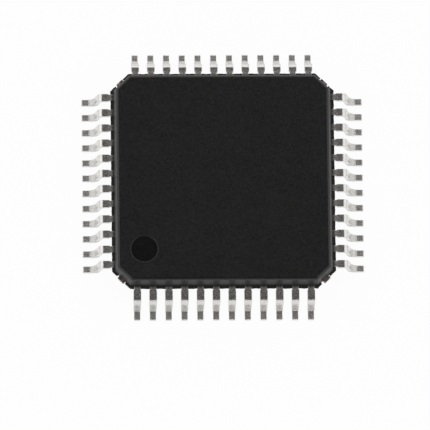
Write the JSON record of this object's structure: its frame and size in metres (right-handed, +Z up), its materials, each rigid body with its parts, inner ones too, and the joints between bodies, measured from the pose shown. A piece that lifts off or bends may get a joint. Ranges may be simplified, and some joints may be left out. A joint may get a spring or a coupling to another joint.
{
  "type": "thin quad flat pack chip",
  "caption": "Thin square surface-mount chip: a black moulded resin body with a round index recess, and gull-wing leads along every side.",
  "frame": {"origin": "centre of the seating plane, under the middle of the body", "axes": "+Z is up, out of the top face; +X and +Y are square to the sides, and lead 1 is at the -X end of the -Y side"},
  "size_m": [0.009, 0.009, 0.0011],
  "materials": {
    "mould_resin": "fine satin moulded epoxy with silica filler",
    "plated_lead": "matte tin plate, lightly mottled",
    "copper_alloy": "rolled copper alloy, cut bare at the tie bar ends",
    "die_adhesive": "cured silver-filled adhesive",
    "silicon": "polished silicon",
    "gold_wire": "drawn gold wire"
  },
  "bodies": {
    "root": {"mold_body": "mould_resin", "die_pad": "copper_alloy", "die_attach": "die_adhesive", "die": "silicon", "bond_wires": "gold_wire", "lead_01": "plated_lead", "lead_02": "plated_lead", "lead_03": "plated_lead", "lead_04": "plated_lead", "lead_05": "plated_lead", "lead_06": "plated_lead", "lead_07": "plated_lead", "lead_08": "plated_lead", "lead_09": "plated_lead", "lead_10": "plated_lead", "lead_11": "plated_lead", "lead_12": "plated_lead", "lead_13": "plated_lead", "lead_14": "plated_lead", "lead_15": "plated_lead", "lead_16": "plated_lead", "lead_17": "plated_lead", "lead_18": "plated_lead", "lead_19": "plated_lead", "lead_20": "plated_lead", "lead_21": "plated_lead", "lead_22": "plated_lead", "lead_23": "plated_lead", "lead_24": "plated_lead", "lead_25": "plated_lead", "lead_26": "plated_lead", "lead_27": "plated_lead", "lead_28": "plated_lead", "lead_29": "plated_lead", "lead_30": "plated_lead", "lead_31": "plated_lead", "lead_32": "plated_lead", "lead_33": "plated_lead", "lead_34": "plated_lead", "lead_35": "plated_lead", "lead_36": "plated_lead", "lead_37": "plated_lead", "lead_38": "plated_lead", "lead_39": "plated_lead", "lead_40": "plated_lead", "lead_41": "plated_lead", "lead_42": "plated_lead", "lead_43": "plated_lead", "lead_44": "plated_lead", "lead_45": "plated_lead", "lead_46": "plated_lead", "lead_47": "plated_lead", "lead_48": "plated_lead"}
  },
  "joints": []
}
